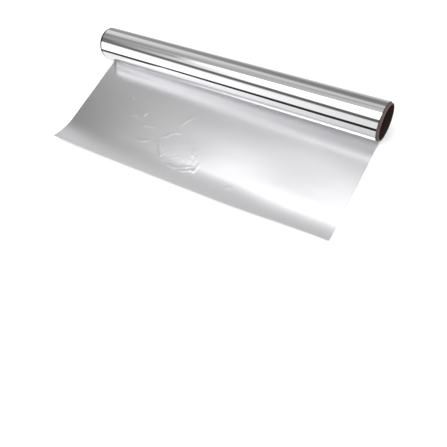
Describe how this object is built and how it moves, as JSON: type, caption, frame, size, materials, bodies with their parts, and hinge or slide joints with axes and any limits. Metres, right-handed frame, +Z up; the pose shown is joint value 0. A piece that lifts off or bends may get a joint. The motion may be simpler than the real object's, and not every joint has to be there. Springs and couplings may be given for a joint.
{
  "type": "aluminium foil roll",
  "caption": "Roll of thin aluminium foil wound on an open cardboard tube, lying on its side with one length drawn out flat and its torn edge curled up.",
  "frame": {"origin": "middle of the cardboard tube's bore, on its axis; the surface that the roll lies on is 16.2 mm below it", "axes": "+X along the roll, -Y the way the foil is drawn out, +Z up"},
  "size_m": [0.304, 0.1339, 0.0322],
  "materials": {
    "foil": "bright rolled foil, mirror-like on the roll and soft satin on the drawn-out face",
    "core_board": "bare grey-brown spiral-wound board"
  },
  "bodies": {
    "root": {"core_tube": "core_board", "foil": "foil"}
  },
  "joints": []
}
